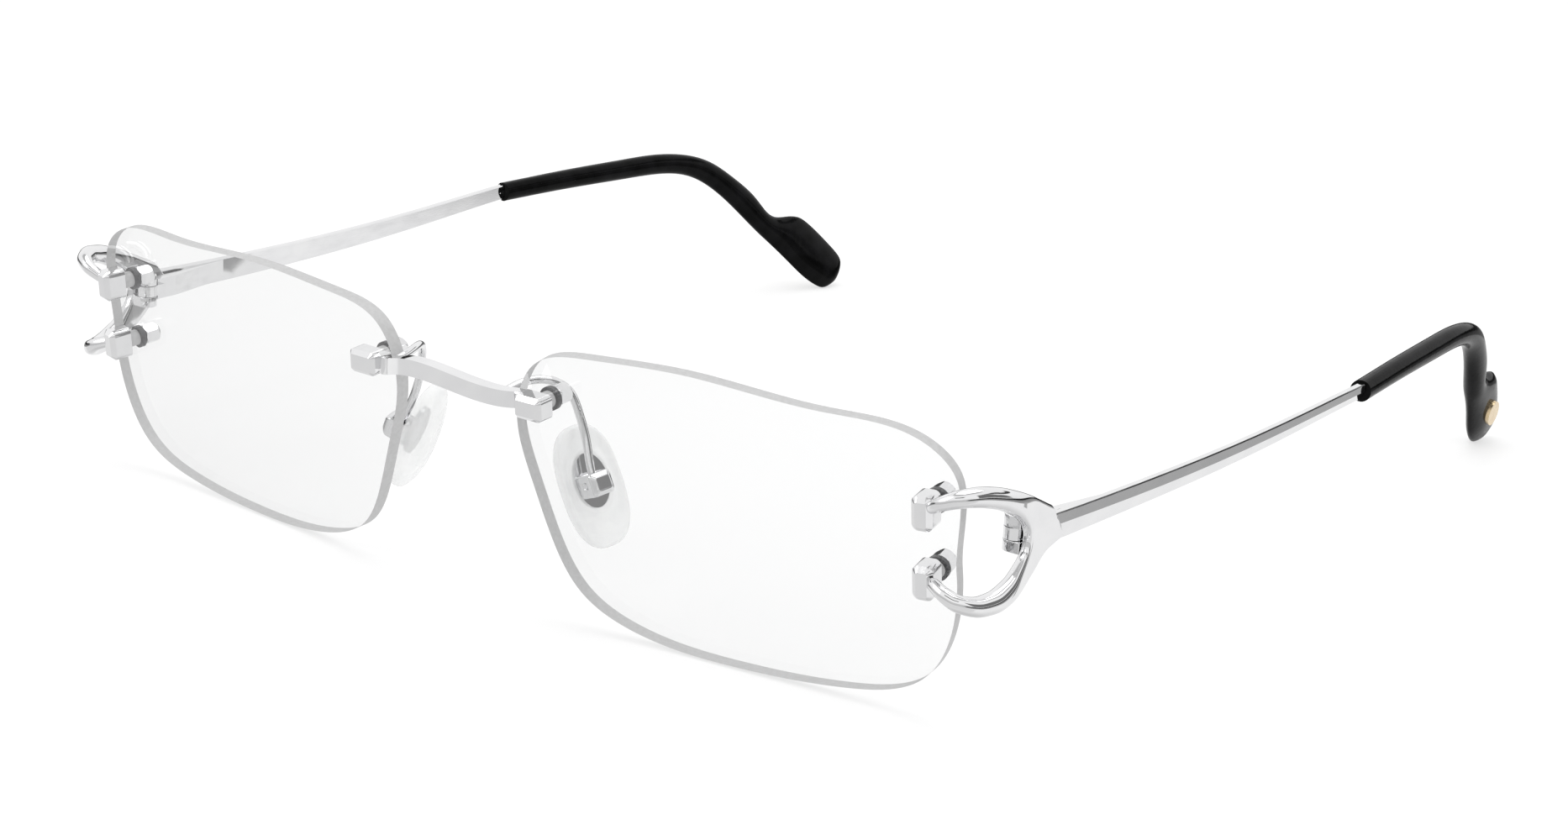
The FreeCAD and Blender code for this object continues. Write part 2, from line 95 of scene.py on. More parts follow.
camera_data = bpy.data.cameras.new("catalogue_camera")
camera_data.sensor_width = 36
camera_data.lens = camera_data.sensor_width * FOCAL_IN_WIDTHS
camera_data.shift_x = 0.0498
camera_data.shift_y = -0.0070
camera_data.clip_start = 0.01
camera = bpy.data.objects.new("catalogue_camera", camera_data)
bpy.context.scene.collection.objects.link(camera)
camera.matrix_world = Matrix.Translation(EYE) @ Matrix(camera_axes()).transposed().to_4x4()
bpy.context.scene.camera = camera
print("camera lens", round(camera_data.lens, 1), "mm")

# %% [markdown]
# Every finish below starts the same way: an empty material with one Principled shader.
# An image texture could carry the unevenness of a real surface, but it would need an unwrapped mesh.
# A noise in object space needs none, and it runs on over the edges of a part. So the roughness follows
# a soft noise, and a second, much finer noise lifts the surface by a few thousandths of a millimetre.
# Sizes are given in metres, so a feature of half a millimetre stays that size on every part.

# %% Material helpers
NOISE_MIDDLE = (0.35, 0.65)    # most values of a noise lie in this range


def start_material(name):
    """New node material; returns it with its Principled shader."""
    material = bpy.data.materials.new(name)
    material.use_nodes = True
    tree = material.node_tree
    tree.nodes.clear()
    output = tree.nodes.new("ShaderNodeOutputMaterial")
    surface = tree.nodes.new("ShaderNodeBsdfPrincipled")
    tree.links.new(surface.outputs["BSDF"], output.inputs["Surface"])
    return material, surface


def noise(material, size, detail=3.0, stretch=(1, 1, 1)):
    """Noise in object space whose features are about size metres across."""
    tree = material.node_tree
    where = tree.nodes.new("ShaderNodeTexCoord")
    mapping = tree.nodes.new("ShaderNodeMapping")
    mapping.inputs["Scale"].default_value = stretch
    texture = tree.nodes.new("ShaderNodeTexNoise")
    texture.inputs["Scale"].default_value = 1 / size
    texture.inputs["Detail"].default_value = detail
    tree.links.new(where.outputs["Object"], mapping.inputs["Vector"])
    tree.links.new(mapping.outputs["Vector"], texture.inputs["Vector"])
    return texture.outputs["Fac"]


def spread(material, value, low, high):
    """Map the middle of a noise onto the range from low to high."""
    ranger = material.node_tree.nodes.new("ShaderNodeMapRange")
    ranger.inputs["From Min"].default_value = NOISE_MIDDLE[0]
    ranger.inputs["From Max"].default_value = NOISE_MIDDLE[1]
    ranger.inputs["To Min"].default_value = low
    ranger.inputs["To Max"].default_value = high
    material.node_tree.links.new(value, ranger.inputs["Value"])
    return ranger.outputs["Result"]


def two_tone(material, value, first, second):
    """Colour that drifts between two close tones."""
    blend = material.node_tree.nodes.new("ShaderNodeMix")
    blend.data_type = "RGBA"
    blend.inputs["A"].default_value = (*first, 1)
    blend.inputs["B"].default_value = (*second, 1)
    material.node_tree.links.new(spread(material, value, 0, 1), blend.inputs["Factor"])
    return blend.outputs["Result"]


def relief(material, value, height):
    """Bump from a noise, height in metres."""
    bump = material.node_tree.nodes.new("ShaderNodeBump")
    bump.inputs["Strength"].default_value = 1.0
    bump.inputs["Distance"].default_value = height
    material.node_tree.links.new(value, bump.inputs["Height"])
    return bump.outputs["Normal"]


def link(material, output, target):
    material.node_tree.links.new(output, target)


print("material helpers ready, noise range", NOISE_MIDDLE)

# %% [markdown]
# The frame metal is plated and polished, so it mirrors the room. Its own colour is a very light neutral
# grey. A perfect mirror would look like a toy: polishing leaves faint soft patches and hairline marks.
# So the roughness moves between two low values, and a fine noise stretched along the part makes hairlines.

# %% Polished metal


def make_polished_metal():
    material, surface = start_material("polished_palladium_plate")
    surface.inputs["Metallic"].default_value = 1.0
    colour = two_tone(material, noise(material, 4 * MM), (0.83, 0.83, 0.84), (0.87, 0.87, 0.875))
    link(material, colour, surface.inputs["Base Color"])
    rough = spread(material, noise(material, 0.8 * MM, 5, (1, 0.2, 1)), 0.035, 0.085)
    link(material, rough, surface.inputs["Roughness"])
    marks = relief(material, noise(material, 0.12 * MM, 2, (1, 0.15, 1)), 0.0006 * MM)
    link(material, marks, surface.inputs["Normal"])
    return material


FINISHES = {"polished_metal": make_polished_metal()}
print("made", FINISHES["polished_metal"].name)

# %% [markdown]
# A lens has two very different surfaces. The front and back are polished and clear: light goes straight
# through, and only a little is mirrored at a glancing angle. The edge is ground by a wheel and stays
# frosted, which is why it reads as a grey band. The edge also carries a painted glow: an emission that
# lifts the grey band evenly. A full glass shader would bend the view and cost many bounces for a nearly flat pane.
# Instead a transparent and a mirror shader are mixed by viewing angle. The faces point almost straight
# forward or back, so the direction of the surface alone tells the shader which part is the edge.

# %% Lens glass
EDGE_LIMIT = 0.6               # the edge is where the surface points less forward or back than this
# strength of the painted glow, an emission on the ground edge
PAINTED_EDGE_GLOW = 0.42
CLEAR_TINT = (0.985, 0.986, 0.986, 1)
MIRRORED_SHARE = (0.03, 0.5)   # seen straight on, and seen at a glancing angle


def clear_pane(material):
    """Shader of the polished faces."""
    tree = material.node_tree
    clear = tree.nodes.new("ShaderNodeBsdfTransparent")
    clear.inputs["Color"].default_value = CLEAR_TINT
    mirror = tree.nodes.new("ShaderNodeBsdfGlossy")
    link(material, spread(material, noise(material, 6 * MM), 0.0, 0.02), mirror.inputs["Roughness"])
    glance = tree.nodes.new("ShaderNodeLayerWeight")
    glance.inputs["Blend"].default_value = 0.2
    share = tree.nodes.new("ShaderNodeMapRange")
    share.inputs["To Min"].default_value = MIRRORED_SHARE[0]
    share.inputs["To Max"].default_value = MIRRORED_SHARE[1]
    link(material, glance.outputs["Facing"], share.inputs["Value"])
    pane = tree.nodes.new("ShaderNodeMixShader")
    link(material, share.outputs["Result"], pane.inputs["Fac"])
    link(material, clear.outputs["BSDF"], pane.inputs[1])
    link(material, mirror.outputs["BSDF"], pane.inputs[2])
    return pane.outputs["Shader"]


def edge_mask(material):
    """1 on the ground edge, 0 on the front and the back."""
    tree = material.node_tree
    direction = tree.nodes.new("ShaderNodeTexCoord")
    parts = tree.nodes.new("ShaderNodeSeparateXYZ")
    link(material, direction.outputs["Normal"], parts.inputs["Vector"])
    size = tree.nodes.new("ShaderNodeMath")
    size.operation = "ABSOLUTE"
    link(material, parts.outputs["Y"], size.inputs[0])
    is_edge = tree.nodes.new("ShaderNodeMath")
    is_edge.operation = "LESS_THAN"
    is_edge.inputs[1].default_value = EDGE_LIMIT
    link(material, size.outputs["Value"], is_edge.inputs[0])
    return is_edge.outputs["Value"]


def make_lens_glass():
    material, frosted = start_material("clear_lens_with_ground_edge")
    tone = two_tone(material, noise(material, 0.5 * MM), (0.24, 0.24, 0.24), (0.28, 0.28, 0.282))
    link(material, tone, frosted.inputs["Base Color"])
    # painted glow: the frosted edge emits light of its own, which keeps its grey band even
    frosted.inputs["Emission Color"].default_value = (0.5, 0.5, 0.5, 1)
    frosted.inputs["Emission Strength"].default_value = PAINTED_EDGE_GLOW
    link(material, spread(material, noise(material, 0.2 * MM), 0.42, 0.55), frosted.inputs["Roughness"])
    both = material.node_tree.nodes.new("ShaderNodeMixShader")
    link(material, edge_mask(material), both.inputs["Fac"])
    link(material, clear_pane(material), both.inputs[1])
    link(material, frosted.outputs["BSDF"], both.inputs[2])
    output = material.node_tree.nodes["Material Output"]
    link(material, both.outputs["Shader"], output.inputs["Surface"])
    return material


FINISHES["lens"] = make_lens_glass()
print("made", FINISHES["lens"].name)

# %% [markdown]
# The nose pads are clear silicone. It is milky rather than glassy: some light passes, some is scattered,
# and the skin is satin. Real scattering inside the pad would be slow to render on so small a piece,
# so the pad is a pale satin surface that lets about three fifths of the light straight through.

# %% Silicone


def make_silicone():
    material, surface = start_material("milky_clear_silicone")
    tone = two_tone(material, noise(material, 2 * MM), (0.80, 0.81, 0.81), (0.86, 0.86, 0.86))
    link(material, tone, surface.inputs["Base Color"])
    link(material, spread(material, noise(material, 3 * MM, 1), 0.24, 0.3), surface.inputs["Roughness"])
    link(material, relief(material, noise(material, 2.5 * MM, 1), 0.001 * MM), surface.inputs["Normal"])
    link(material, spread(material, noise(material, 3 * MM), 0.38, 0.44), surface.inputs["Alpha"])
    return material


FINISHES["silicone"] = make_silicone()
print("made", FINISHES["silicone"].name)

# %% [markdown]
# The ear tips are black acetate. Black plastic shows little but what it mirrors, and these tips mirror
# weakly: they stay near black face on, with a grey sheen along edges that turn away. That is a low
# specular level on an almost black base, and two soft noises keep it from looking like a flat cut-out.

# %% Black tips


def make_black_acetate():
    material, surface = start_material("polished_black_acetate")
    tone = two_tone(material, noise(material, 3 * MM), (0.0025, 0.0025, 0.0025), (0.006, 0.006, 0.0065))
    link(material, tone, surface.inputs["Base Color"])
    link(material, spread(material, noise(material, 0.9 * MM, 4), 0.08, 0.14), surface.inputs["Roughness"])
    link(material, relief(material, noise(material, 1.6 * MM, 2), 0.004 * MM), surface.inputs["Normal"])
    surface.inputs["Specular IOR Level"].default_value = 0.05
    return material


FINISHES["black_acetate"] = make_black_acetate()
print("made", FINISHES["black_acetate"].name)

# %% [markdown]
# The small parts have finishes of their own. The washers behind the lens are dark moulded plastic, the
# sleeves in the drilled holes are clear plastic, and the inlay in the tip is pale gold with a satin polish.
# Each is a plain Principled shader with its own tone and roughness, which is enough at their size.

# %% Small parts


def make_dark_plastic():
    material, surface = start_material("dark_moulded_plastic")
    tone = two_tone(material, noise(material, 0.5 * MM), (0.02, 0.02, 0.022), (0.045, 0.045, 0.048))
    link(material, tone, surface.inputs["Base Color"])
    link(material, spread(material, noise(material, 0.2 * MM), 0.3, 0.5), surface.inputs["Roughness"])
    return material


def make_clear_plastic():
    material, surface = start_material("clear_moulded_plastic")
    tone = two_tone(material, noise(material, 0.5 * MM), (0.80, 0.81, 0.82), (0.88, 0.89, 0.90))
    link(material, tone, surface.inputs["Base Color"])
    link(material, spread(material, noise(material, 0.3 * MM), 0.1, 0.2), surface.inputs["Roughness"])
    surface.inputs["Alpha"].default_value = 0.5
    return material


def make_gilt_metal():
    material, surface = start_material("pale_gold")
    surface.inputs["Metallic"].default_value = 1.0
    tone = two_tone(material, noise(material, 0.8 * MM), (0.80, 0.62, 0.38), (0.86, 0.70, 0.46))
    link(material, tone, surface.inputs["Base Color"])
    link(material, spread(material, noise(material, 0.3 * MM), 0.16, 0.3), surface.inputs["Roughness"])
    return material


FINISHES["dark_plastic"] = make_dark_plastic()
FINISHES["clear_plastic"] = make_clear_plastic()
FINISHES["gilt_metal"] = make_gilt_metal()
print("finishes", sorted(FINISHES))

# %% [markdown]
# The record of the model names a material slot for every part, so the parts needn't be dressed by hand.
# A loop reads the slot of each part and gives it the finish of that name.

# %% Dress the parts
slot_of = {row["node"]: row["material_slot"] for row in frame["record"]["subparts"]}
for name, part in nodes.items():
    part.data.materials.clear()
    part.data.materials.append(FINISHES[slot_of[name]])
print("dressed", len(nodes), "parts")

# %% [markdown]
# No real edge is perfectly sharp. After plating, every machined edge of the metal carries a tiny rounding
# that catches the light as a thin line. It could be drawn in CAD, but here it takes two modifiers: Weld
# joins the points that neighbouring triangles share, and Bevel rounds each edge sharper than a set angle.
# Only the compact parts get it. On the long curved bars the triangles are slivers and would show.

# %% Polished edges
EDGE_ROUNDING = {"side_blocks": 0.12, "pad_box": 0.3, "cap_nuts": 0.08, "hinge_knuckles": 0.08}   # mm
SHARP_FROM = 28        # degrees between two faces
WELD_REACH = 0.0005    # mm


def round_edges(part, width):
    weld = part.modifiers.new("weld", "WELD")
    weld.merge_threshold = WELD_REACH * MM
    edge = part.modifiers.new("edge", "BEVEL")
    edge.width = width * MM
    edge.segments = 3
    edge.limit_method = "ANGLE"
    edge.angle_limit = math.radians(SHARP_FROM)
    edge.harden_normals = True


for name, part in nodes.items():
    kind = name.removesuffix("_left").removesuffix("_right")
    if kind in EDGE_ROUNDING:
        round_edges(part, EDGE_ROUNDING[kind])
        print("rounded", name)

# %% [markdown]
# Some pieces deserve a finer surface than plain CAD solids give: the forked end piece, which the real maker
# casts and polishes into one flowing form, and the soft nose pads. They are modelled on the left and mirrored
# to the right. A mirrored mesh needs its faces turned over, or its inside would become its outside.

# %% Mirror helper


def mirrored(mesh, name):
    """Copy of a mesh on the other side of the nose."""
    twin = mesh.copy()
    twin.name = name
    twin.transform(Matrix.Scale(-1, 4, (1, 0, 0)))
    twin.flip_normals()
    return twin


def add_pair(base_name, mesh, node, body_names, slot_name):
    """Places a left mesh and its mirror image, each standing for one CAD node."""
    made = []
    for side in SIDES:
        name = base_name + "_" + side
        data = mesh if side == "left" else mirrored(mesh, name)
        piece = bpy.data.objects.new(name, data)
        data.materials.clear()
        data.materials.append(FINISHES[slot_name])
        bpy.context.scene.collection.objects.link(piece)
        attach(piece, body_names[side])
        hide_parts(node + "_" + side)
        made.append(piece)
    return made


def joint(name):
    """Row of a hinge in the frame, with its place and axis."""
    return next(j for j in frame["joints"] if j["name"] == name)


# %% [markdown]
# The end piece is a fork: two arms leave the clamp blocks, swing outwards past the edge of the lens and run
# together into the temple. Two bent tubes could be joined with a Boolean, but the joint would show a crease.
# The Skin modifier suits a branching form better: a chain of points, each with a radius, becomes a closed
# tube with a clean junction, and a subdivision rounds it. The chain is written in millimetres from the
# hinge axis. Afterwards the tube is pressed flat where the arms join, and cut along the slanting seam
# where the temple starts.

# %% Fork skeleton
HINGE_POINT = Vector(joint("temple_fold_left")["pos_m"])
UPPER_CHAIN = [
    ((-3.9, -10.7, 4.0), 0.72), ((-1.95, -11.45, 5.15), 0.86), ((-0.25, -10.85, 5.9), 1.05),
    ((1.05, -9.0, 6.05), 1.2), ((1.8, -6.2, 5.45), 1.3), ((2.05, -3.2, 4.25), 1.45),
    ((2.05, -0.4, 2.7), 1.75),
]
LOWER_CHAIN = [
    ((-3.9, -9.6, -4.15), 0.72), ((-1.85, -10.3, -4.85), 0.86), ((-0.15, -9.85, -5.75), 1.05),
    ((1.05, -8.1, -6.3), 1.2), ((1.75, -5.6, -6.1), 1.35), ((2.05, -2.8, -5.0), 1.5),
    ((2.05, -0.1, -2.7), 1.7),
]
PROW_CHAIN = [((2.05, 2.2, 0.35), 2.1), ((2.05, 5.4, 0.1), 1.75), ((2.05, 8.6, 0.0), 1.7)]
FORK_ROUNDING = 4      # levels of subdivision


def fork_skeleton():
    """Chain of edges with its radii, as an object with Skin and Subdivision modifiers."""
    points = UPPER_CHAIN + LOWER_CHAIN + PROW_CHAIN
    upper, lower, prow = len(UPPER_CHAIN), len(LOWER_CHAIN), len(PROW_CHAIN)
    first_prow = upper + lower
    edges = [(k, k + 1) for k in range(upper - 1)]
    edges += [(upper + k, upper + k + 1) for k in range(lower - 1)]
    edges += [(first_prow + k, first_prow + k + 1) for k in range(prow - 1)]
    edges += [(upper - 1, first_prow), (first_prow - 1, first_prow)]
    mesh = bpy.data.meshes.new("fork_chain")
    mesh.from_pydata([Vector(place) for place, radius in points], edges, [])
    skeleton = bpy.data.objects.new("fork_chain", mesh)
    bpy.context.scene.collection.objects.link(skeleton)
    skeleton.modifiers.new("skin", "SKIN")
    radii = mesh.skin_vertices[0].data
    for vertex, (place, radius) in zip(radii, points):
        vertex.radius = (radius, radius)
    radii[first_prow].use_root = True
    skeleton.modifiers.new("round", "SUBSURF").levels = FORK_ROUNDING
    return skeleton


print("fork points", len(UPPER_CHAIN + LOWER_CHAIN + PROW_CHAIN))

# %% [markdown]
# The tube is still round where the arms meet, and the real side plate is thin. Scaling it would leave the
# sides curved, so each point is moved sideways by a saturating curve: points near the middle of the plate
# hardly move, and points far out pile up on its two faces. The press sets in gradually along the fork,
# and the plate leans a little, which decides what its polished face mirrors.

# %% Fork shape
PLATE_MIDDLE = 2.0             # sideways from the hinge axis
PLATE_HALF = 0.6
PLATE_LEAN = (-0.045, 0.05)    # the plate leans out towards its front and its top
ARM_HALF = 1.15
PRESS_LENGTH = 7.5             # the press sets in over this length before the hinge
SEAM_POINT = Vector((0, 3.76, 1.65))
SEAM_NORMAL = Vector((0, 3.1, 2.4)).normalized()


def press_flat(point):
    """Squeezes the fork sideways into a plate, more so towards the temple."""
    share = min(1, max(0, (point.y + PRESS_LENGTH) / PRESS_LENGTH))
    share = share * share * (3 - 2 * share)
    half = ARM_HALF + (PLATE_HALF - ARM_HALF) * share
    middle = PLATE_MIDDLE + PLATE_LEAN[0] * (point.y - SEAM_POINT.y) + PLATE_LEAN[1] * point.z
    flat = middle + half * math.tanh((point.x - PLATE_MIDDLE) / half)
    return Vector((flat * share + point.x * (1 - share), point.y, point.z))


def cut_at_seam(builder):
    """Cuts the prow off along the seam and closes the cut."""
    whole = builder.verts[:] + builder.edges[:] + builder.faces[:]
    cut = bmesh.ops.bisect_plane(
        builder, geom=whole, plane_co=SEAM_POINT, plane_no=SEAM_NORMAL, clear_outer=True)
    rim = [e for e in cut["geom_cut"] if isinstance(e, bmesh.types.BMEdge)]
    bmesh.ops.holes_fill(builder, edges=rim)


def fork_mesh():
    skeleton = fork_skeleton()
    bpy.context.view_layer.update()
    skinned = skeleton.evaluated_get(bpy.context.evaluated_depsgraph_get())
    mesh = bpy.data.meshes.new_from_object(skinned)
    mesh.name = "fork_left"
    bpy.data.objects.remove(skeleton)
    builder = bmesh.new()
    builder.from_mesh(mesh)
    for vertex in builder.verts:
        vertex.co = press_flat(vertex.co)
    cut_at_seam(builder)
    for face in builder.faces:
        face.smooth = True
    bmesh.ops.scale(builder, vec=(MM, MM, MM), verts=builder.verts)
    bmesh.ops.translate(builder, vec=HINGE_POINT, verts=builder.verts)
    builder.to_mesh(mesh)
    builder.free()
    return mesh


front_body = {side: "front" for side in SIDES}
forks = add_pair("fork", fork_mesh(), "yoke", front_body, "polished_metal")
print("fork faces", len(forks[0].data.polygons))

# %% [markdown]
# A nose pad is a small moulded cushion of clear silicone. Seen along its thickness it is a rounded oblong,
# fuller than an ellipse, crowned towards the nose and almost flat behind, with a pocket for its metal plate.
# Cloth simulation suits stuffed fabric, not a solid moulding, so the pad is built as a stack of rings.
# Each ring is a superellipse, and the stack runs over the crown, round the rim, across the back and down
# into the pocket. The place of the pad comes from its hinge in the frame.

# %% Nose pad rings
PAD_PIVOT = Vector(joint("pad_rock_left")["pos_m"])
PAD_BACKWARD = Vector(joint("pad_rock_left")["axis"])
PAD_UP = Vector((-0.40, -0.06, 0.915)).normalized()
PAD_OUTWARD = PAD_BACKWARD.cross(PAD_UP)
PAD_MIDDLE = (0.7, -0.35)      # all sizes of the pad are in millimetres from its pivot
PAD_HALF = (4.0, 7.25)
PAD_LEVEL = -1.9
OBLONG = 0.55                  # how much fuller than an ellipse the outline is
CROWN = 2.2
CROWN_FULLNESS = 0.85
RIM_DROP = 0.25
RIM_TUCK = 0.07                # share by which the back is smaller than the rim
BACK_RISE = 0.55
BACK_DISH = 0.28
POCKET_HALF = (2.24, 3.24)
POCKET_MIDDLE = (0.6, 0.3)
POCKET_LIP = 0.1
POCKET_FLOOR = -2.03
RING_POINTS = 72
CROWN_RINGS = 12
RIM_RINGS = 8
BACK_RINGS = 5


def ring(half_x, half_y, power, middle, level):
    """Superellipse in the plane of the pad, in millimetres."""
    points = []
    for k in range(RING_POINTS):
        turn = 2 * math.pi * k / RING_POINTS
        c, s = math.cos(turn), math.sin(turn)
        x = middle[0] + half_x * math.copysign(abs(c) ** (2 / power), c)
        y = middle[1] + half_y * math.copysign(abs(s) ** (2 / power), s)
        points.append((x, y, level))
    return points


def pad_ring(size, power, level):
    """Ring round the middle of the pad, size 1 being its full outline."""
    return ring(PAD_HALF[0] * size, PAD_HALF[1] * size, power, PAD_MIDDLE, level)


def crown_rings():
    rings = []
    for k in range(1, CROWN_RINGS + 1):
        turn = math.radians(90 * k / CROWN_RINGS)
        level = PAD_LEVEL - RIM_DROP - (CROWN - RIM_DROP) * math.cos(turn) ** CROWN_FULLNESS
        rings.append(pad_ring(math.sin(turn), 2 + OBLONG * math.sin(turn), level))
    return rings


def rim_rings():
    rings = []
    for k in range(1, RIM_RINGS + 1):
        turn = math.radians(90 * k / RIM_RINGS)
        level = PAD_LEVEL - RIM_DROP + (BACK_RISE + RIM_DROP) * math.sin(turn)
        rings.append(pad_ring(1 - RIM_TUCK * (1 - math.cos(turn)), 2 + OBLONG, level))
    return rings


def back_rings():
    """Rings that narrow from the rim to the pocket, over a shallow dish."""
    rings = []
    outer = (PAD_HALF[0] * (1 - RIM_TUCK), PAD_HALF[1] * (1 - RIM_TUCK), *PAD_MIDDLE)
    inner = (*POCKET_HALF, *POCKET_MIDDLE)
    for k in range(1, BACK_RINGS + 1):
        share = k / BACK_RINGS
        dish = BACK_RISE - BACK_DISH * math.sin(math.pi * share) ** 2
        wide, tall, *middle = [a * (1 - share) + b * share for a, b in zip(outer, inner)]
        rings.append(ring(wide, tall, 2 + OBLONG * (1 - share), middle, PAD_LEVEL + dish))
    return rings


def pocket_rings():
    return [ring(*POCKET_HALF, 2, POCKET_MIDDLE, level) for level in (PAD_LEVEL + POCKET_LIP, POCKET_FLOOR)]


PAD_RINGS = crown_rings() + rim_rings() + back_rings() + pocket_rings()
print("pad rings", len(PAD_RINGS))

# %% [markdown]
# The rings become a closed mesh: neighbouring rings are joined with four-sided faces, and the first and
# the last ring are closed with a fan round a middle point. The mesh is made once, turned from the pad's own
# directions into the frame, and mirrored. Each pad rides on its rocking unit.

# %% Nose pads


def stack(rings, name):
    """Closed mesh over a stack of rings, with a centre point at each end."""
    builder = bmesh.new()
    rows = [[builder.verts.new(p) for p in points] for points in rings]
    for low, high in zip(rows, rows[1:]):
        for k in range(len(low)):
            following = (k + 1) % len(low)
            builder.faces.new((low[k], low[following], high[following], high[k]))
    for row in (rows[0], rows[-1]):
        middle = builder.verts.new(sum((v.co for v in row), Vector()) / len(row))
        for k in range(len(row)):
            builder.faces.new((row[k], row[(k + 1) % len(row)], middle))
    bmesh.ops.recalc_face_normals(builder, faces=builder.faces)
    for face in builder.faces:
        face.smooth = True
    mesh = bpy.data.meshes.new(name)
    builder.to_mesh(mesh)
    builder.free()
    return mesh


pad_mesh = stack(PAD_RINGS, "pad_left")
pad_axes = Matrix((PAD_BACKWARD, PAD_UP, PAD_OUTWARD)).transposed().to_4x4()
pad_mesh.transform(Matrix.Translation(PAD_PIVOT) @ pad_axes @ Matrix.Scale(MM, 4))
pad_body = {side: "nose_pad_unit_" + side for side in SIDES}
pads = add_pair("silicone_pad", pad_mesh, "nose_pad", pad_body, "silicone")
print("pad faces", len(pad_mesh.polygons))

# %% [markdown]
# The glasses stand on a plain pale sheet. A strong floor shadow would distract from thin wires and clear
# lenses. A larger lamp would soften it, but would also fill every mirror, so the sheet glows a little
# by itself and the shadow stays faint. Polished metal doesn't mirror the sheet: it sees the room below.

# %% Floor
FLOOR_RADIUS = 4.0
FLOOR_DROP = 0.00005           # just under the lowest point of the glasses
FLOOR_TONE = 0.32
FLOOR_GLOW = 0.62


def make_floor_paper():
    """Even matte sheet with a very soft drift in tone."""
    material, surface = start_material("pale_floor")
    tone = (FLOOR_TONE,) * 3
    darker = tuple(c * 0.985 for c in tone)
    link(material, two_tone(material, noise(material, 0.4), tone, darker), surface.inputs["Base Color"])
    link(material, spread(material, noise(material, 0.02), 0.75, 0.9), surface.inputs["Roughness"])
    surface.inputs["Specular IOR Level"].default_value = 0.0
    surface.inputs["Emission Color"].default_value = (1, 1, 1, 1)
    surface.inputs["Emission Strength"].default_value = FLOOR_GLOW
    return material


def lay_floor():
    mesh = bpy.data.meshes.new("floor")
    builder = bmesh.new()
    bmesh.ops.create_circle(builder, cap_ends=True, segments=96, radius=FLOOR_RADIUS)
    builder.to_mesh(mesh)
    builder.free()
    sheet = bpy.data.objects.new("floor", mesh)
    sheet.location.z = -FLOOR_DROP
    sheet.visible_glossy = False
    mesh.materials.append(make_floor_paper())
    bpy.context.scene.collection.objects.link(sheet)
    return sheet


print("laid", lay_floor().name)

# %% [markdown]
# A studio for polished metal is mostly about what the metal can see. In an evenly white room, metal looks
# like paper, so a studio hangs grey and black cards around it. Real card objects would cast shadows
# and show up in other views. Here the cards are patches of the room itself, and only mirrored rays see
# them: a dark line at the horizon, a mid grey card for the flat sides, and dark cards high up.

# %% Room
# brightness of the room from straight below, 0, over the horizon, 0.5, to straight above, 1
ROOM_BANDS = (
    (0.0, 0.62), (0.12, 0.80), (0.22, 0.93), (0.382, 0.95), (0.392, 0.36), (0.46, 0.24),
    (0.475, 0.02), (0.522, 0.02), (0.532, 0.90), (0.71, 1.0), (0.90, 0.95), (0.93, 0.5), (1.0, 0.6),
)
# grey cards: ranges of the direction's x, y and z, softness of the rim, brightness
CARDS = (
    (((0.425, 0.54), (0.3, 1.1), (-0.36, -0.18)), 0.008, 0.42),
    (((-1.1, 1.1), (-1.1, -0.2), (-0.75, -0.25)), 0.05, 0.76),
    (((-0.9, 0.9), (-1.1, -0.4), (-0.20, 0.12)), 0.04, 0.60),
    (((0.72, 1.1), (-0.2, 0.8), (0.10, 0.56)), 0.03, 0.17),
    (((0.05, 0.70), (-1.1, 1.1), (0.46, 0.57)), 0.012, 0.05),
)


def inside(tree, value, low, high, soft):
    """1 where the value lies between low and high, falling to 0 over a soft edge."""
    sides_of_card = []
    for start, end in ((low - soft, low + soft), (high + soft, high - soft)):
        step = tree.nodes.new("ShaderNodeMapRange")
        step.interpolation_type = "SMOOTHSTEP"
        step.inputs["From Min"].default_value = start
        step.inputs["From Max"].default_value = end
        tree.links.new(value, step.inputs["Value"])
        sides_of_card.append(step.outputs["Result"])
    both = tree.nodes.new("ShaderNodeMath")
    both.operation = "MULTIPLY"
    for slot, side in enumerate(sides_of_card):
        tree.links.new(side, both.inputs[slot])
    return both.outputs["Value"]


def hang_card(tree, parts, shade_behind, limits, soft, shade):
    """Grey card in the room: a patch of directions with its own brightness."""
    covers = inside(tree, parts.outputs["X"], *limits[0], soft)
    for axis, (low, high) in zip("YZ", limits[1:]):
        mask = tree.nodes.new("ShaderNodeMath")
        mask.operation = "MULTIPLY"
        tree.links.new(covers, mask.inputs[0])
        tree.links.new(inside(tree, parts.outputs[axis], low, high, soft), mask.inputs[1])
        covers = mask.outputs["Value"]
    blend = tree.nodes.new("ShaderNodeMix")
    tree.links.new(covers, blend.inputs["Factor"])
    tree.links.new(shade_behind, blend.inputs["A"])
    blend.inputs["B"].default_value = shade
    return blend.outputs["Result"]


def banded_sky(tree, parts):
    """Brightness by height alone."""
    height = tree.nodes.new("ShaderNodeMapRange")
    height.inputs["From Min"].default_value = -1
    height.inputs["From Max"].default_value = 1
    tree.links.new(parts.outputs["Z"], height.inputs["Value"])
    bands = tree.nodes.new("ShaderNodeValToRGB")
    for spot, (place, shade) in enumerate(ROOM_BANDS):
        stop = bands.color_ramp.elements[spot] if spot < 2 else bands.color_ramp.elements.new(place)
        stop.position = place
        stop.color = (shade, shade, shade, 1)
    tree.links.new(height.outputs["Result"], bands.inputs["Fac"])
    return bands.outputs["Color"]


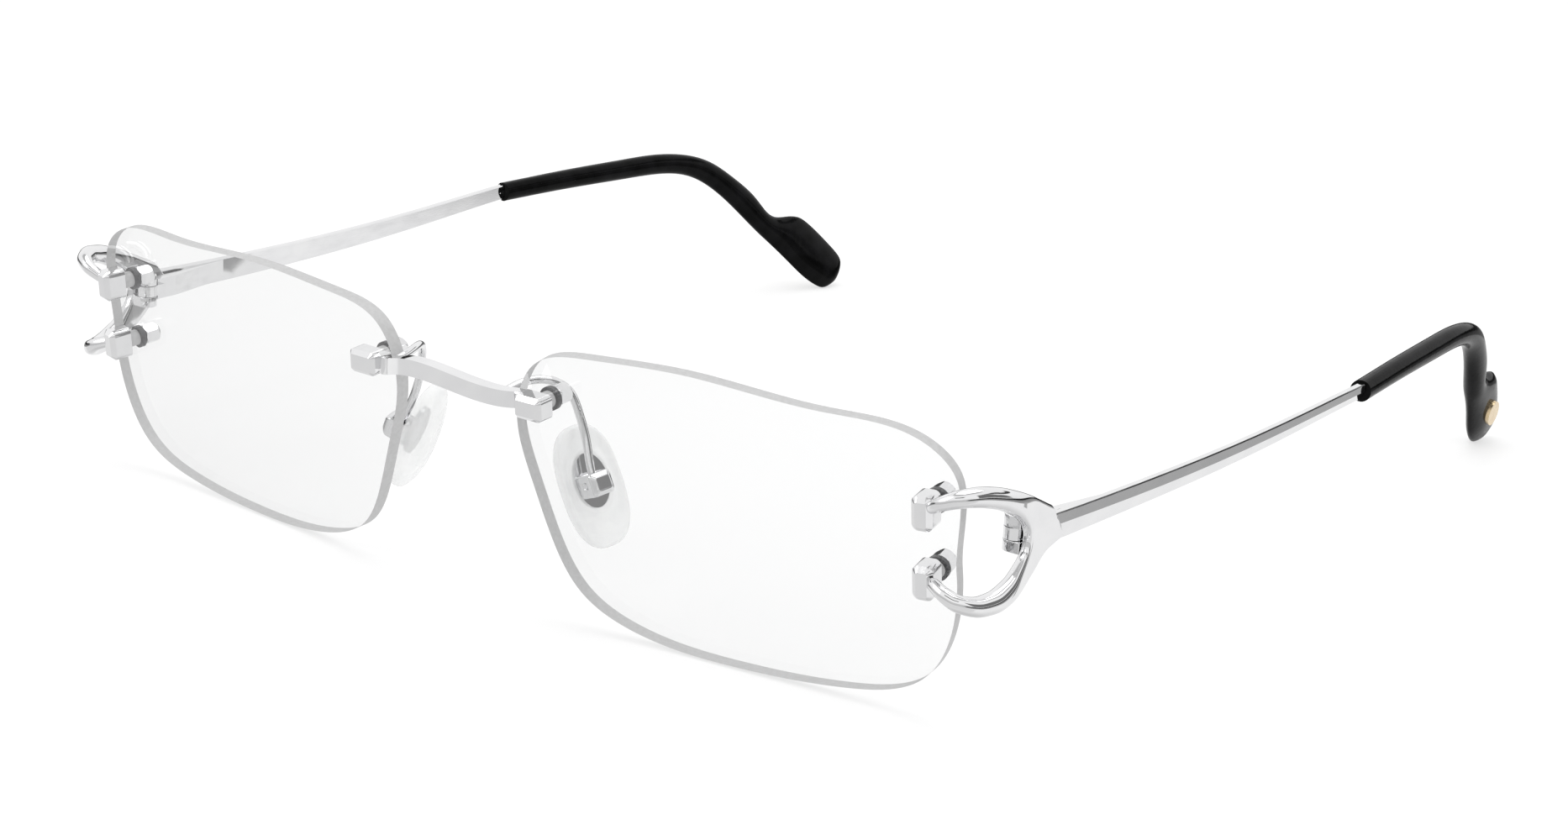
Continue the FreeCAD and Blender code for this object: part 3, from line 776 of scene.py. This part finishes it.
def make_room():
    """Banded room with cards for what the metal mirrors; plain white for everything else."""
    world = bpy.data.worlds.new("studio_room")
    world.use_nodes = True
    tree = world.node_tree
    tree.nodes.clear()
    where = tree.nodes.new("ShaderNodeTexCoord")
    parts = tree.nodes.new("ShaderNodeSeparateXYZ")
    tree.links.new(where.outputs["Generated"], parts.inputs["Vector"])
    shade = banded_sky(tree, parts)
    for card in CARDS:
        shade = hang_card(tree, parts, shade, *card)
    mirrored_room = tree.nodes.new("ShaderNodeBackground")
    tree.links.new(shade, mirrored_room.inputs["Color"])
    plain_room = tree.nodes.new("ShaderNodeBackground")
    plain_room.inputs["Color"].default_value = (1, 1, 1, 1)
    rays = tree.nodes.new("ShaderNodeLightPath")
    choose = tree.nodes.new("ShaderNodeMixShader")
    tree.links.new(rays.outputs["Is Glossy Ray"], choose.inputs["Fac"])
    tree.links.new(plain_room.outputs["Background"], choose.inputs[1])
    tree.links.new(mirrored_room.outputs["Background"], choose.inputs[2])
    output = tree.nodes.new("ShaderNodeOutputWorld")
    tree.links.new(choose.outputs["Shader"], output.inputs["Surface"])
    return world


bpy.context.scene.world = make_room()
print("room with", len(CARDS), "cards")

# %% [markdown]
# Three soft lamps give direction to the light: one above, one in front and one at the side. Each is a
# square area lamp aimed at the middle of the glasses, large enough to leave no hard shadow. The side lamp
# would show as a white square in the nose pad plates, so mirrored rays don't see it. The Standard view
# transform keeps the white sheet white.

# %% Lamps
# name, place in metres, side length in metres, watts
SOFTBOXES = (
    ("top_softbox", (0.0, 0.1, 0.9), 0.7, 3.0),
    ("front_softbox", (-0.45, -0.7, 0.55), 0.5, 2.0),
    ("side_softbox", (0.8, 0.15, 0.45), 0.35, 1.2),
)


def soft_lamp(name, place, size, power):
    """Square softbox that faces the middle of the glasses."""
    data = bpy.data.lights.new(name, "AREA")
    data.size = size
    data.energy = power
    lamp = bpy.data.objects.new(name, data)
    lamp.location = place
    aim = (cad_low + cad_high) / 2 - Vector(place)
    lamp.rotation_mode = "QUATERNION"
    lamp.rotation_quaternion = aim.to_track_quat("-Z", "Y")
    bpy.context.scene.collection.objects.link(lamp)
    return lamp


lamps = [soft_lamp(*row) for row in SOFTBOXES]
lamps[-1].visible_glossy = False
bpy.context.scene.view_settings.view_transform = "Standard"
print("lamps", [lamp.name for lamp in lamps])
